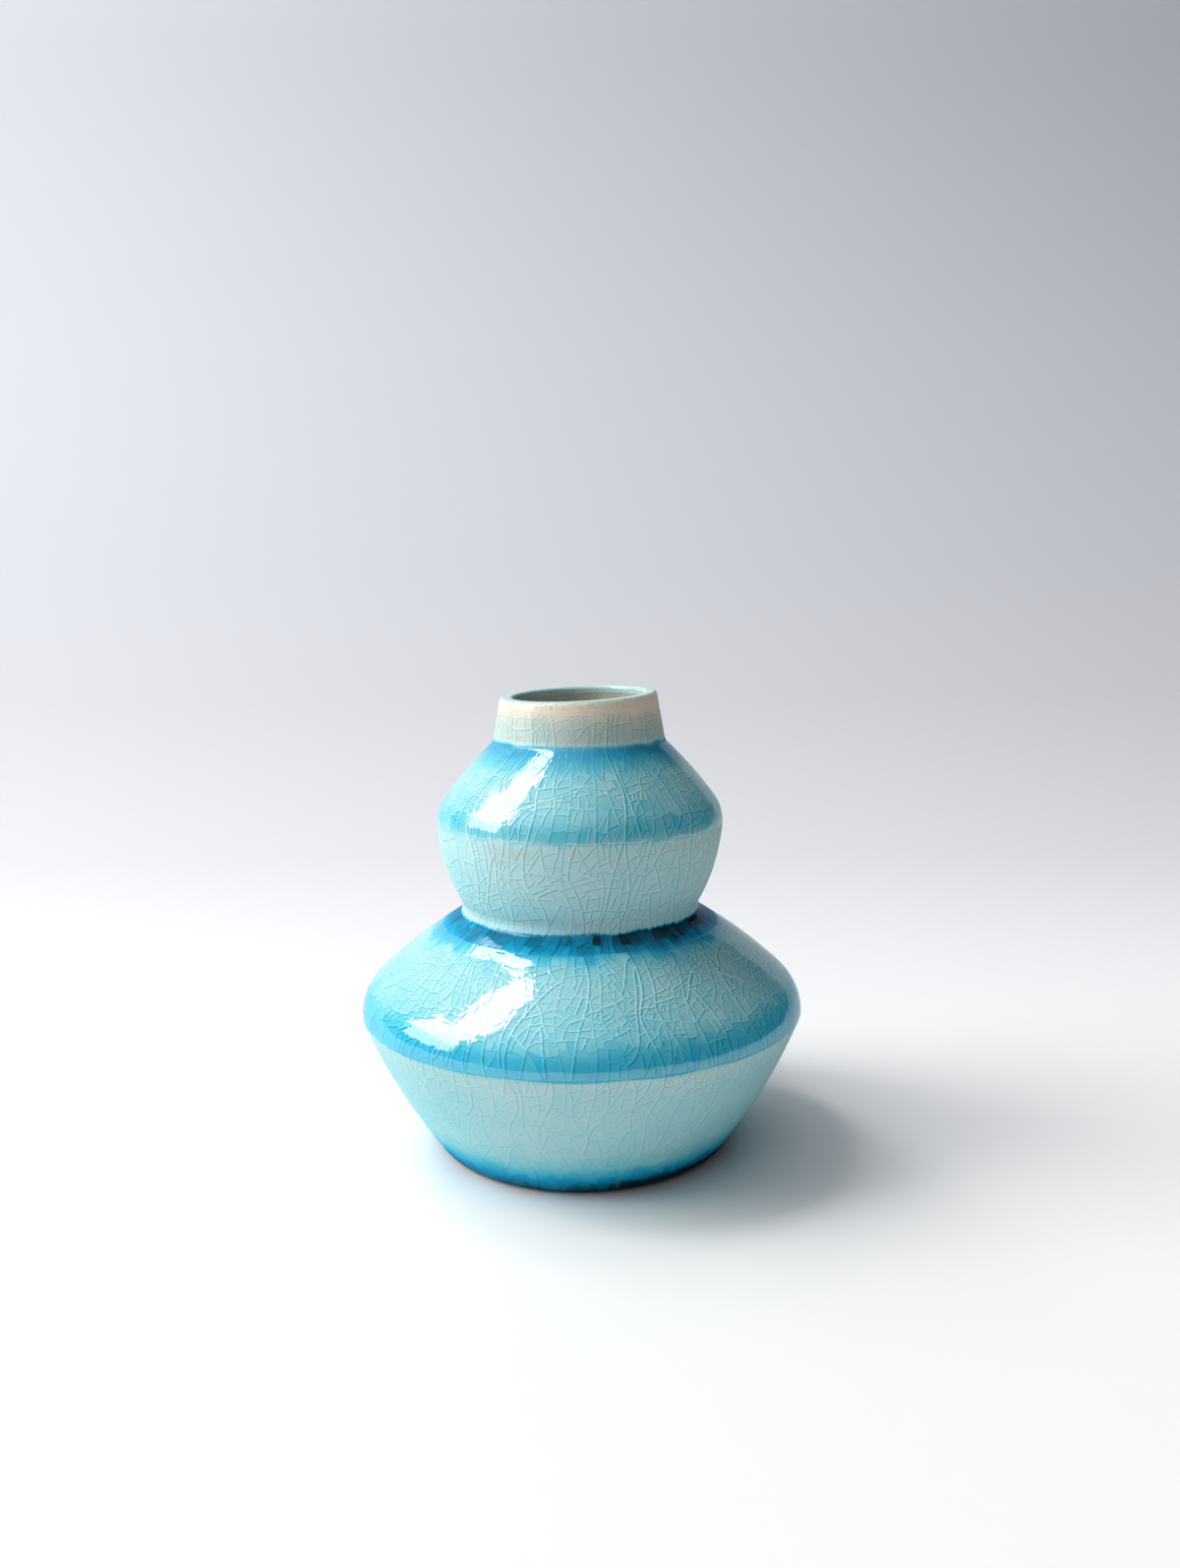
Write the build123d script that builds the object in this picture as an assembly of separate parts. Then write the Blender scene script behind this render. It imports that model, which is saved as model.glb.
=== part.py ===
"""Double gourd vase in crackle-glazed ceramic, in millimetres, +Z up, origin under the centre of the foot.

Two keeled bulbs and a collar neck are thrown as five clay sections. Each section carries a ridge that
sits in a groove thrown in the rim below it, bedded in slip. Glaze covers the outside in fields that
break thin over the keels, pools in the waist and rolls up at the foot, and a liner glaze seals the inside.
"""
from build123d import *
import os
from math import cos, radians, sin

# Foot and base of the lowest section
BASE_RADIUS = 32.5
BASE_ROUND = 1.8
FOOT_INSET = 3.5
FOOT_WIDTH = 4.5
FOOT_HEIGHT = 1.2
FOOT_EDGE = 0.4

# Rise of each thrown section, from the one below it
LOWER_BOWL_RISE = 30.4
LOWER_SHOULDER_RISE = 23.1
UPPER_BOWL_RISE = 19.7
UPPER_SHOULDER_RISE = 18.2
NECK_RISE = 10.2

# Clay outline: the radius at each turn of the profile, and the curves between
LOWER_BOWL_BOW = 1.2
LOWER_KEEL_RADIUS = 49.8
LOWER_KEEL_ROLL = 9.4
LOWER_ROLL_TURN = 47.0
WAIST_RADIUS = 25.2
WAIST_ROUND = 0.8
UPPER_BOWL_BOW = 1.25
UPPER_KEEL_RADIUS = 31.9
UPPER_KEEL_ROLL = 8.5
UPPER_ROLL_TURN = 36.0
NECK_BASE_RADIUS = 18.9
NECK_BASE_ROUND = 0.8
NECK_TAPER = 1.6

# The rim is cut by hand, a little out of level: the tilt, and the direction of its high side from +X
RIM_TILT = 3.4
RIM_HIGH_SIDE = 49.0

# Clay walls
FLOOR_THICKNESS = 3.6
WALL = 3.0
RIM_WALL = 2.1
INNER_CORNER_ROUND = 5.0
LIP_ROUND = 0.4

# Luted joints: a ridge in a groove, with slip between
SLIP = 0.5
JOINT_DEPTH = 1.0
JOINT_HALF_WIDTH = 0.9

# Glaze: thickness at each turn of the profile, and how far it swells where it pools
GLAZE_FOOT = 0.9
GLAZE_KEEL = 0.5
GLAZE_WAIST = 0.9
GLAZE_NECK = 0.6
GLAZE_RIM = 0.4
GLAZE_LIP = 0.4
GLAZE_SWELL = 1.2
WAIST_POOL_ROUND = 2.4
WAIST_POOL_UP = 0.9
WAIST_POOL_DOWN = 3.2
NECK_POOL_ROUND = 1.6
LIP_GLAZE_DEPTH = 1.4
LINER = 0.4

# How far construction runs past the part, so that cuts go clear through it
CLEAR = 20.0

FOOT_RADIUS = BASE_RADIUS - FOOT_INSET
FLOOR_HEIGHT = FOOT_HEIGHT + FLOOR_THICKNESS
LOWER_KEEL_HEIGHT = FOOT_HEIGHT + LOWER_BOWL_RISE
WAIST_HEIGHT = LOWER_KEEL_HEIGHT + LOWER_SHOULDER_RISE
UPPER_KEEL_HEIGHT = WAIST_HEIGHT + UPPER_BOWL_RISE
NECK_BASE_HEIGHT = UPPER_KEEL_HEIGHT + UPPER_SHOULDER_RISE
RIM_HEIGHT = NECK_BASE_HEIGHT + NECK_RISE
RIM_RADIUS = NECK_BASE_RADIUS - NECK_TAPER
THROAT_RADIUS = RIM_RADIUS - RIM_WALL
REACH = LOWER_KEEL_RADIUS + CLEAR
TOP = RIM_HEIGHT + CLEAR
BASE_CORNER = (BASE_RADIUS, FOOT_HEIGHT)
LOWER_KEEL = (LOWER_KEEL_RADIUS, LOWER_KEEL_HEIGHT)
WAIST = (WAIST_RADIUS, WAIST_HEIGHT)
UPPER_KEEL = (UPPER_KEEL_RADIUS, UPPER_KEEL_HEIGHT)
NECK_BASE = (NECK_BASE_RADIUS, NECK_BASE_HEIGHT)


# Half sections: radius along the sketch's X, height along its Y


def outside(point, thickness):
    """A profile point moved outwards by a glaze thickness."""
    return (point[0] + thickness, point[1])


def shoulder(keel, roll, turn, end):
    """The roll over a keel and the dome above it, which share a tangent."""
    rolled = JernArc(start=keel, tangent=(0, 1), radius=roll, arc_size=turn)
    return [rolled, TangentArc(rolled @ 1, end, tangent=rolled % 1)]


def rounded(face, point, radius):
    """The face with the corner nearest to a point rounded."""
    return fillet(face.vertices().sort_by_distance(point)[0], radius)


def filled_section(foot, keel, swell, waist, neck, rim):
    """The vase filled to its axis, with glaze of the given thickness at each turn of the clay's outline."""
    base = outside(BASE_CORNER, foot)
    low = outside(LOWER_KEEL, keel)
    middle = outside(WAIST, waist)
    high = outside(UPPER_KEEL, keel)
    neck_low = outside(NECK_BASE, neck)
    taper = (RIM_RADIUS + rim - neck_low[0]) / NECK_RISE
    neck_high = (neck_low[0] + taper * (TOP - NECK_BASE_HEIGHT), TOP)
    return make_face(
        [
            Line((0, FOOT_HEIGHT), base),
            SagittaArc(base, low, -LOWER_BOWL_BOW),
            *shoulder(low, LOWER_KEEL_ROLL + swell, LOWER_ROLL_TURN, middle),
            SagittaArc(middle, high, -UPPER_BOWL_BOW),
            *shoulder(high, UPPER_KEEL_ROLL + swell, UPPER_ROLL_TURN, neck_low),
            Polyline(neck_low, neck_high, (0, TOP), (0, FOOT_HEIGHT)),
        ]
    )


def clay_section():
    """The clay's outside, filled to the axis."""
    face = filled_section(foot=0, keel=0, swell=0, waist=0, neck=0, rim=0)
    face = rounded(face, BASE_CORNER, BASE_ROUND)
    face = rounded(face, WAIST, WAIST_ROUND)
    return rounded(face, NECK_BASE, NECK_BASE_ROUND)


def glazed_section():
    """The glaze's outside, filled to the axis, with its pools at the waist and under the neck."""
    face = filled_section(GLAZE_FOOT, GLAZE_KEEL, GLAZE_SWELL, GLAZE_WAIST, GLAZE_NECK, GLAZE_RIM)
    face = rounded(face, outside(BASE_CORNER, GLAZE_FOOT), BASE_ROUND + GLAZE_FOOT)
    face = rounded(face, outside(WAIST, GLAZE_WAIST), WAIST_POOL_ROUND)
    return rounded(face, outside(NECK_BASE, GLAZE_NECK), NECK_POOL_ROUND)


def zone(low, high):
    """Everything between two heights, from the axis outwards."""
    return make_face(Polyline((0, low), (REACH, low), (REACH, high), (0, high), close=True))


def hollow_section(liner):
    """The inside of the clay, a wall's thickness from its outside, less a liner's thickness.

    The floor is thicker than the wall, and the throat is straight.
    """
    clay = filled_section(foot=0, keel=0, swell=0, waist=0, neck=0, rim=0)
    inner = offset(clay + mirror(clay, about=Plane.YZ), amount=-WALL - liner)
    hollow = inner & zone(FLOOR_HEIGHT + liner, TOP)
    floor_corner = hollow.vertices().group_by(Axis.Y)[0].sort_by(Axis.X)[-1]
    hollow = fillet(floor_corner, INNER_CORNER_ROUND - liner)
    throat = Polyline(
        (0, NECK_BASE_HEIGHT),
        (THROAT_RADIUS - liner, NECK_BASE_HEIGHT),
        (THROAT_RADIUS - liner, TOP),
        (0, TOP),
        close=True,
    )
    return hollow + make_face(throat)


def joint_line(middle, height):
    """A luting line across the wall, from the axis outwards, with its groove at the given radius."""
    return [
        (0, height),
        (middle - JOINT_HALF_WIDTH, height),
        (middle, height - JOINT_DEPTH),
        (middle + JOINT_HALF_WIDTH, height),
        (REACH, height),
    ]


def raised(line, rise):
    return [(radius, height + rise) for radius, height in line]


def between(lower_line, upper_line):
    """The region from one luting line up to another."""
    return make_face(Polyline(*lower_line, *reversed(upper_line), close=True))


# Solids of revolution


def turned(face):
    """A half section turned about the vase's axis."""
    return revolve(Plane.XZ * face, axis=Axis.Z)


def rim_plane(above):
    """The plane of the hand-cut rim, moved along its own normal."""
    lean = sin(radians(RIM_TILT))
    normal = (
        -lean * cos(radians(RIM_HIGH_SIDE)),
        -lean * sin(radians(RIM_HIGH_SIDE)),
        cos(radians(RIM_TILT)),
    )
    return Plane(origin=(0, 0, RIM_HEIGHT), z_dir=normal).offset(above)


def cut_at_rim(solid, above, keep=Keep.BOTTOM):
    return split(solid, bisect_by=rim_plane(above), keep=keep)


def rounded_lip(ring, radius):
    """A neck ring with both edges of its cut rim rounded."""
    return fillet(ring.faces().sort_by(Axis.Z)[-1].edges(), radius)


def foot_ring():
    """The turned foot, with its edges eased."""
    ring = make_face(
        Polyline(
            (FOOT_RADIUS - FOOT_WIDTH, 0),
            (FOOT_RADIUS, 0),
            (FOOT_RADIUS, FOOT_HEIGHT),
            (FOOT_RADIUS - FOOT_WIDTH, FOOT_HEIGHT),
            close=True,
        )
    )
    standing = ring.vertices().group_by(Axis.Y)[0]
    return fillet(standing, FOOT_EDGE)


def clay_pieces():
    """The five thrown sections and the four beds of slip that lute them."""
    wall = clay_section() - hollow_section(liner=0)
    joints = {
        "lower_keel": joint_line(LOWER_KEEL_RADIUS - WALL / 2, LOWER_KEEL_HEIGHT),
        "waist": joint_line(WAIST_RADIUS - WALL / 2, WAIST_HEIGHT),
        "upper_keel": joint_line(UPPER_KEEL_RADIUS - WALL / 2, UPPER_KEEL_HEIGHT),
        "neck": joint_line((NECK_BASE_RADIUS + THROAT_RADIUS) / 2, NECK_BASE_HEIGHT),
    }
    pieces = {f"{name}_slip": turned(wall & between(line, raised(line, SLIP))) for name, line in joints.items()}
    below = [(0, 0), (REACH, 0)]
    for section, name in zip(["lower_bowl", "lower_shoulder", "upper_bowl", "upper_shoulder"], joints):
        pieces[section] = turned(wall & between(below, joints[name]))
        below = raised(joints[name], SLIP)
    pieces["lower_bowl"] += turned(foot_ring())
    collar = cut_at_rim(turned(wall & between(below, [(0, TOP), (REACH, TOP)])), above=0)
    pieces["neck_collar"] = rounded_lip(collar, LIP_ROUND)
    return pieces


def glaze_pieces(collar):
    """The glaze coats: one field for each section, the waist's pool, the lip's cap and the liner."""
    clay, glazed = clay_section(), glazed_section()
    hollow, water = hollow_section(liner=0), hollow_section(LINER)
    coat = glazed - clay
    pool_low, pool_high = WAIST_HEIGHT - WAIST_POOL_DOWN, WAIST_HEIGHT + WAIST_POOL_UP
    fields = {
        "lower_bowl_glaze": (FOOT_HEIGHT, LOWER_KEEL_HEIGHT),
        "lower_shoulder_glaze": (LOWER_KEEL_HEIGHT, pool_low),
        "waist_glaze_pool": (pool_low, pool_high),
        "upper_bowl_glaze": (pool_high, UPPER_KEEL_HEIGHT),
        "upper_shoulder_glaze": (UPPER_KEEL_HEIGHT, NECK_BASE_HEIGHT),
        "neck_glaze": (NECK_BASE_HEIGHT, TOP),
    }
    pieces = {name: turned(coat & zone(low, high)) for name, (low, high) in fields.items()}
    pieces["neck_glaze"] = cut_at_rim(pieces["neck_glaze"], above=-LIP_GLAZE_DEPTH)
    pieces["liner_glaze"] = cut_at_rim(turned(hollow - water), above=-LIP_GLAZE_DEPTH)
    neck = cut_at_rim(turned((glazed - water) & zone(NECK_BASE_HEIGHT, TOP)), above=GLAZE_LIP)
    neck = rounded_lip(neck, LIP_ROUND + GLAZE_LIP)
    pieces["lip_glaze"] = cut_at_rim(neck, above=-LIP_GLAZE_DEPTH, keep=Keep.TOP) - collar
    return pieces


def main():
    os.makedirs("parts", exist_ok=True)
    pieces = clay_pieces()
    pieces |= glaze_pieces(pieces["neck_collar"])
    for name, solid in pieces.items():
        export_step(solid, f"parts/{name}.step")


main()
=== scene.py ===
from math import pi, radians, tau

import bpy
import numpy as np
from mathutils import Matrix, Vector, kdtree


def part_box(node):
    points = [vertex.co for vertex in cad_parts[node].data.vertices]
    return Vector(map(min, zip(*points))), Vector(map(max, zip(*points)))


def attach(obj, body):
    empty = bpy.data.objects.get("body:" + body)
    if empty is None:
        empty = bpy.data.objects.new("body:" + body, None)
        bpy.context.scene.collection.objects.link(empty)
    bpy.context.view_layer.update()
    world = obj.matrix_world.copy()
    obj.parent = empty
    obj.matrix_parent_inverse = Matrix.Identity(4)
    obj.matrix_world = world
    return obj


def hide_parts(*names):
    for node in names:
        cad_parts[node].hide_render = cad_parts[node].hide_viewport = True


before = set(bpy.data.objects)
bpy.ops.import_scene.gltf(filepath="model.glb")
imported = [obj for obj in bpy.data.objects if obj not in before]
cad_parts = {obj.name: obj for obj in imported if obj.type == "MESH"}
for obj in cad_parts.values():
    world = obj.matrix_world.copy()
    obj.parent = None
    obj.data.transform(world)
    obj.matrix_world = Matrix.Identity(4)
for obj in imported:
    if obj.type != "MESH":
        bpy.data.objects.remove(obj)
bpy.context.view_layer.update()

# Lengths in this script are in millimetres, and meshes are written in metres
MM = 0.001

# The photograph's camera: its frame and focal length in pixels, and its place, pitch and roll
PHOTO_WIDTH = 1200
FOCAL_PIXELS = 1250
SENSOR_WIDTH = 36.0
CAMERA_PLACE = (2.35, -276.7, 120.6)
CAMERA_PITCH = 7.84
CAMERA_ROLL = 0.53
CLIP_START = 10.0

# The glaze coats from the foot up, with the rows of the mesh that stands for each and its material slot
COATS = {
    "lower_bowl_glaze": (126, "celadon_glaze"),
    "lower_shoulder_glaze": (126, "turquoise_glaze"),
    "waist_glaze_pool": (44, "pooled_glaze"),
    "upper_bowl_glaze": (112, "celadon_glaze"),
    "upper_shoulder_glaze": (112, "turquoise_glaze"),
    "neck_glaze": (56, "neck_glaze"),
}
COLUMNS = 1400
CLAY_SIDE_ROWS = 10
CLAY_NODES = ("lower_bowl", "lower_shoulder", "upper_bowl", "upper_shoulder", "neck_collar")
SLIP_NODES = ("lower_keel_slip", "waist_slip", "upper_keel_slip", "neck_slip")
# A face belongs to a side of its coat if it turns that way by at least this much
FACING = 0.1
# Decimals to which the heights of one ring of a coat agree
RING_DIGITS = 2
# Faces of the lip that point up by this much lie along the edges of the rim's flat, close to its plane
NEARLY_UP = 0.999
# Points on each arc between two rings of a profile
ARC_POINTS = 24

# Heights of the turns of the profile
FOOT_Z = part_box("lower_bowl_glaze")[0].z / MM
LOWER_KEEL_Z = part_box("lower_bowl_glaze")[1].z / MM
WAIST_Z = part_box("lower_shoulder")[1].z / MM
UPPER_KEEL_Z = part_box("upper_bowl_glaze")[1].z / MM
NECK_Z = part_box("upper_shoulder_glaze")[1].z / MM
RIM_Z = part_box("lip_glaze")[1].z / MM
# The glaze that ran into the waist stops short at a crisp upper edge
POOL_EDGE_Z = WAIST_Z - 0.4

# How deep the glaze lies at each height, from 0, where it breaks thin, to 1, where it pools darkest
DEPTHS = [
    (FOOT_Z, 0.95),
    (FOOT_Z + 0.8, 0.86),
    (FOOT_Z + 2.3, 0.66),
    (FOOT_Z + 4.5, 0.43),
    (FOOT_Z + 7.0, 0.28),
    (FOOT_Z + 11.0, 0.21),
    (LOWER_KEEL_Z - 5.0, 0.19),
    (LOWER_KEEL_Z - 0.6, 0.16),
    (LOWER_KEEL_Z + 0.1, 0.12),
    (LOWER_KEEL_Z + 0.6, 0.4),
    (LOWER_KEEL_Z + 2.6, 0.44),
    (LOWER_KEEL_Z + 5.0, 0.41),
    (LOWER_KEEL_Z + 8.5, 0.27),
    (WAIST_Z - 7.5, 0.23),
    (WAIST_Z - 4.8, 0.27),
    (WAIST_Z - 3.6, 0.5),
    (WAIST_Z - 2.6, 0.68),
    (WAIST_Z - 1.6, 0.79),
    (POOL_EDGE_Z - 0.1, 0.83),
    (POOL_EDGE_Z + 0.4, 0.2),
    (POOL_EDGE_Z + 0.9, 0.18),
    (WAIST_Z + 2.0, 0.19),
    (WAIST_Z + 4.0, 0.19),
    (UPPER_KEEL_Z - 4.0, 0.17),
    (UPPER_KEEL_Z - 1.0, 0.15),
    (UPPER_KEEL_Z, 0.16),
    (UPPER_KEEL_Z + 1.8, 0.29),
    (UPPER_KEEL_Z + 3.2, 0.33),
    (UPPER_KEEL_Z + 6.5, 0.27),
    (UPPER_KEEL_Z + 10.0, 0.23),
    (NECK_Z - 5.0, 0.26),
    (NECK_Z - 2.5, 0.36),
    (NECK_Z - 0.5, 0.52),
    (NECK_Z + 0.2, 0.5),
    (NECK_Z + 1.2, 0.17),
    (NECK_Z + 2.2, 0.09),
    (NECK_Z + 3.4, 0.11),
    (NECK_Z + 6.0, 0.08),
    (NECK_Z + 8.0, 0.02),
    (RIM_Z, 0.0),
]
# The bands rise towards the back, and the pool in the waist to the right, by these shares of the way
BAND_LEAN = 0.03
POOL_LEAN = 0.012
# How far the edges of the bands wander, and that of the pool frays, in millimetres, and over what distance
BAND_WANDER, WANDER_LENGTH = 0.1, 11.0
BAND_FRAY, FRAY_LENGTH = 0.07, 2.4
# The glaze is drawn deeper, and so darker, on one side, in the waist and at the foot: round which angle, how
# far and how much
DEEP_ANGLE = radians(-50)
DEEP_SIDE = (radians(15), radians(52))
WAIST_DEEPER, WAIST_REACH = 0.19, (1.5, 4.0)
FOOT_DEEPER, FOOT_REACH = 0.25, (1.0, 4.5)
# How far above and below the waist the lean of the pool holds
POOL_REACH = 5.0
# How far the depth of each cell of the crackle differs from that of its neighbours, by height
CELL_SPREADS = [
    (FOOT_Z, 0.012),
    (FOOT_Z + 5.0, 0.012),
    (FOOT_Z + 9.0, 0.003),
    (LOWER_KEEL_Z, 0.003),
    (LOWER_KEEL_Z + 0.6, 0.02),
    (LOWER_KEEL_Z + 5.0, 0.02),
    (LOWER_KEEL_Z + 8.0, 0.01),
    (WAIST_Z - 5.0, 0.01),
    (WAIST_Z - 3.4, 0.045),
    (POOL_EDGE_Z, 0.06),
    (POOL_EDGE_Z + 0.1, 0.003),
    (UPPER_KEEL_Z, 0.003),
    (UPPER_KEEL_Z + 1.0, 0.018),
    (NECK_Z - 0.5, 0.018),
    (NECK_Z + 0.6, 0.003),
]
# How far the bands are shifted from cell to cell, in millimetres by height, and how many times that at most
SHIFT_LIMIT = 1.5
CELL_SHIFTS = [
    (FOOT_Z, 0.1),
    (FOOT_Z + 4.0, 0.35),
    (FOOT_Z + 9.0, 0.0),
    (LOWER_KEEL_Z + 0.8, 0.0),
    (LOWER_KEEL_Z + 3.0, 0.45),
    (WAIST_Z - 5.0, 0.5),
    (WAIST_Z - 3.5, 0.2),
    (POOL_EDGE_Z - 1.0, 0.0),
    (UPPER_KEEL_Z - 1.5, 0.0),
    (UPPER_KEEL_Z, 0.3),
    (NECK_Z - 2.0, 0.3),
    (NECK_Z - 0.4, 0.0),
]
# Painted shade in the band under the neck, where the neck shades the shoulder: how far the glaze's colour is
# darkened there, by height
NECK_PAINTED_SHADE = [
    (NECK_Z - 4.5, 0.0),
    (NECK_Z - 0.5, 0.45),
    (NECK_Z + 0.3, 0.45),
    (NECK_Z + 1.3, 0.0),
]
# How far each cell of the crackle keeps one depth of its own, by height
CELL_SHARES = [
    (FOOT_Z, 0.25),
    (FOOT_Z + 9.0, 0.1),
    (LOWER_KEEL_Z, 0.1),
    (LOWER_KEEL_Z + 1.0, 0.2),
    (WAIST_Z - 7.0, 0.3),
    (WAIST_Z - 4.0, 0.45),
    (POOL_EDGE_Z, 0.45),
    (POOL_EDGE_Z + 0.1, 0.0),
    (UPPER_KEEL_Z, 0.1),
    (UPPER_KEEL_Z + 1.0, 0.2),
    (NECK_Z - 2.0, 0.1),
    (NECK_Z + 0.5, 0.0),
]
# How strongly crack lines show by height, pale lines first and then the dark lines beside them
LINE_STRENGTHS = [
    (FOOT_Z, 0.1, 0.3),
    (LOWER_KEEL_Z - 8.0, 0.3, 0.3),
    (LOWER_KEEL_Z, 0.5, 0.5),
    (LOWER_KEEL_Z + 2.0, 0.9, 1.0),
    (LOWER_KEEL_Z + 7.0, 1.0, 1.0),
    (WAIST_Z - 5.0, 1.0, 1.0),
    (WAIST_Z - 3.5, 0.15, 1.0),
    (POOL_EDGE_Z, 0.0, 1.0),
    (POOL_EDGE_Z + 0.4, 0.3, 0.4),
    (WAIST_Z + 3.0, 0.5, 0.7),
    (UPPER_KEEL_Z, 0.5, 0.7),
    (UPPER_KEEL_Z + 3.0, 1.0, 1.0),
    (NECK_Z - 0.5, 1.0, 1.0),
    (NECK_Z + 1.0, 0.7, 0.6),
    (NECK_Z + 6.0, 0.7, 0.6),
    (NECK_Z + 8.5, 0.1, 0.1),
]
# Half widths of those lines, from full strength to none, and how faint the faintest cracks are
PALE_LINE = (0.08, 0.23)
DARK_LINE = (0.08, 0.33)
FAINTEST_CRACK = 0.45

# Crackle: primary cracks up the wall, how far each stands off its place, and how it drifts on its way up
PRIMARY_CRACKS = 34
PRIMARY_STEP = 0.2
PRIMARY_WANDER = 0.22
DRIFT_LENGTHS = (90.0, 41.0, 23.0)
# Cracks round the wall where the bands meet: their heights, and how far they step from one strip to the next
RING_CRACKS = [
    (LOWER_KEEL_Z + 0.3, 0.03),
    (WAIST_Z - 3.5, 0.4),
    (POOL_EDGE_Z, 0.03),
    (UPPER_KEEL_Z + 0.3, 0.2),
    (NECK_Z - 2.6, 0.5),
    (NECK_Z + 0.7, 0.05),
]
RING_POINTS = 9
RING_WIDTH = 0.25
# How far from these rings the other cracks drift freely
RING_HOLD = 8.0
# Area of a finished cell in square millimetres by height, and how far it varies
CELL_AREAS = [
    (FOOT_Z, 9.0),
    (LOWER_KEEL_Z, 9.0),
    (LOWER_KEEL_Z + 0.6, 13.0),
    (LOWER_KEEL_Z + 3.0, 13.0),
    (LOWER_KEEL_Z + 5.0, 6.0),
    (LOWER_KEEL_Z + 10.0, 4.6),
    (WAIST_Z - 5.0, 4.6),
    (WAIST_Z - 3.4, 10.0),
    (WAIST_Z, 10.0),
    (WAIST_Z + 3.0, 6.5),
    (UPPER_KEEL_Z, 6.5),
    (NECK_Z, 6.0),
    (RIM_Z, 7.0),
]
CELL_AREA_SPREAD = 0.35
# Large cells crack upwards first, and small ones across their long side
LARGE_CELL, SMALL_CELL = 110.0, 12.0
LARGE_BIAS, SMALL_BIAS = 0.3, 0.85
# A crack across a cell: its turn, its offset from the middle and the spacing of its points
CUT_TILT = 0.14
CUT_OFFSET = 0.16
CRACK_STEP = 0.8
FEWEST_POINTS = 4
# The spacing of the points at which the distance to a crack is measured
CRACK_SAMPLE = 0.08
# It bows and roughens a little, and bends to meet the edges of the cell nearly square
CRACK_BOW = 0.05
CRACK_ROUGHNESS = 0.035
CRACK_PULL = 0.3
STRAIGHT_SHARE, SQUARE_SHARE = 0.45, 0.55
# How far the cooling glaze drifted, and over what distances, aside and up
CRACK_WANDER = 0.8
SWIRL_LENGTHS = (26.0, 22.0)
# The cracks across large cells came first and are the widest
WIDEST_CRACK_AREA = 60.0
NARROW_CRACK = 0.6

# Relief of the glazed surface: grooves, tilted cells, slow waves, and a margin that keeps it in the CAD
GROOVE_DEPTH = 0.005
GROOVE_WIDTH = 0.18
CELL_TILT = 0.008
WAVE_DEPTH, WAVE_LENGTH = 0.015, 14.0
RELIEF_MARGIN = 0.05
# Cells begin this far from a crack, and the relief fades out over this length at both ends of the glaze
CELL_EDGE = 0.14
TILT_FADE = 0.6
# The roll of glaze at the foot hangs this much lower than the CAD coat, which fades out over this height
FOOT_ROLL, ROLL_HEIGHT = 0.5, 1.5
# The wall of a crack shows through the glaze as a darker line, this far aside and up from the crack. It lies
# on the same side of every crack, which at the front is to the right and below, away from the window, so it
# is partly painted shade
CRACK_SHADE_OFFSET = (0.29, -0.2)

# The cap of glaze over the rim: its depth down the wall, its thickness, its rounded edges and its grain
LIP_DEPTH = 1.8
LIP_THICKNESS = 0.4
LIP_EDGE = 0.8
LIP_GRAIN = 0.06
LIP_GRAIN_LENGTHS = (2.2, 1.1)
# How deep its glaze lies, and over what width it breaks thin at the outer edge
LIP_GLAZE = 0.14
LIP_BREAK = 0.4
LIP_COLUMNS = 900
LIP_WALL_POINTS, LIP_EDGE_POINTS, LIP_FLAT_POINTS = 6, 9, 10
# The neck's taper at the rim is read over this many points of its profile
TAPER_POINTS = 9

# Waves in a ripple, the spread of their wavelengths, and how far from 0 the ripple goes
RIPPLE_WAVES = 10
RIPPLE_SPREAD = (0.7, 1.4)
RIPPLE_RANGE = 2.0
SPLIT_TRIES = 8
NOT_ZERO = 1e-9
# Each random field has a seed of its own, counted up from this one
SEED = 7


# Profile of the glaze, read from the CAD coats


def mesh_numbers(items, name, width):
    """One property of all vertices or faces of a mesh, as a table."""
    values = np.empty(len(items) * width, np.float32)
    items.foreach_get(name, values)
    return values.reshape(-1, width).astype(float)


def rings(node, outward):
    """Radius and height of each ring of a coat, on its outer or its clay side, from the bottom up."""
    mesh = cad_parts[node].data
    places = mesh_numbers(mesh.vertices, "co", 3) / MM
    normals = mesh_numbers(mesh.polygons, "normal", 3)
    centres = mesh_numbers(mesh.polygons, "center", 3)
    corners = np.array([tuple(face.vertices) for face in mesh.polygons])
    radial = centres[:, :2] / np.hypot(*centres[:, :2].T)[:, None]
    facing = (normals[:, :2] * radial).sum(1)
    chosen = np.unique(corners[facing > FACING if outward else facing < -FACING])
    radius = np.hypot(places[chosen, 0], places[chosen, 1])
    height = places[chosen, 2].round(RING_DIGITS)
    levels, which = np.unique(height, return_inverse=True)
    return np.stack([np.bincount(which, radius) / np.bincount(which), levels], 1)


def smooth_line(points, count):
    """Points at even steps along a line through the given points that bends as arcs between them."""
    chord = np.diff(points, axis=0)
    length = np.hypot(*chord.T)
    heading = np.unwrap(np.arctan2(chord[:, 1], chord[:, 0]))
    inner = (heading[:-1] * length[1:] + heading[1:] * length[:-1]) / (length[:-1] + length[1:])
    turn = np.concatenate([[2 * heading[0] - inner[0]], inner, [2 * heading[-1] - inner[-1]]])
    tangent = np.stack([np.cos(turn), np.sin(turn)], 1)
    t = np.linspace(0, 1, ARC_POINTS, endpoint=False)[None, :, None]
    start, end = points[:-1, None], points[1:, None]
    leave, arrive = tangent[:-1, None] * length[:, None, None], tangent[1:, None] * length[:, None, None]
    dense = (
        (2 * t**3 - 3 * t**2 + 1) * start
        + (t**3 - 2 * t**2 + t) * leave
        + (3 * t**2 - 2 * t**3) * end
        + (t**3 - t**2) * arrive
    )
    dense = np.concatenate([dense.reshape(-1, 2), points[-1:]])
    along = np.concatenate([[0], np.cumsum(np.hypot(*np.diff(dense, axis=0).T))])
    steps = np.linspace(0, along[-1], count)
    return np.stack([np.interp(steps, along, dense[:, axis]) for axis in (0, 1)], 1)


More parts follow.
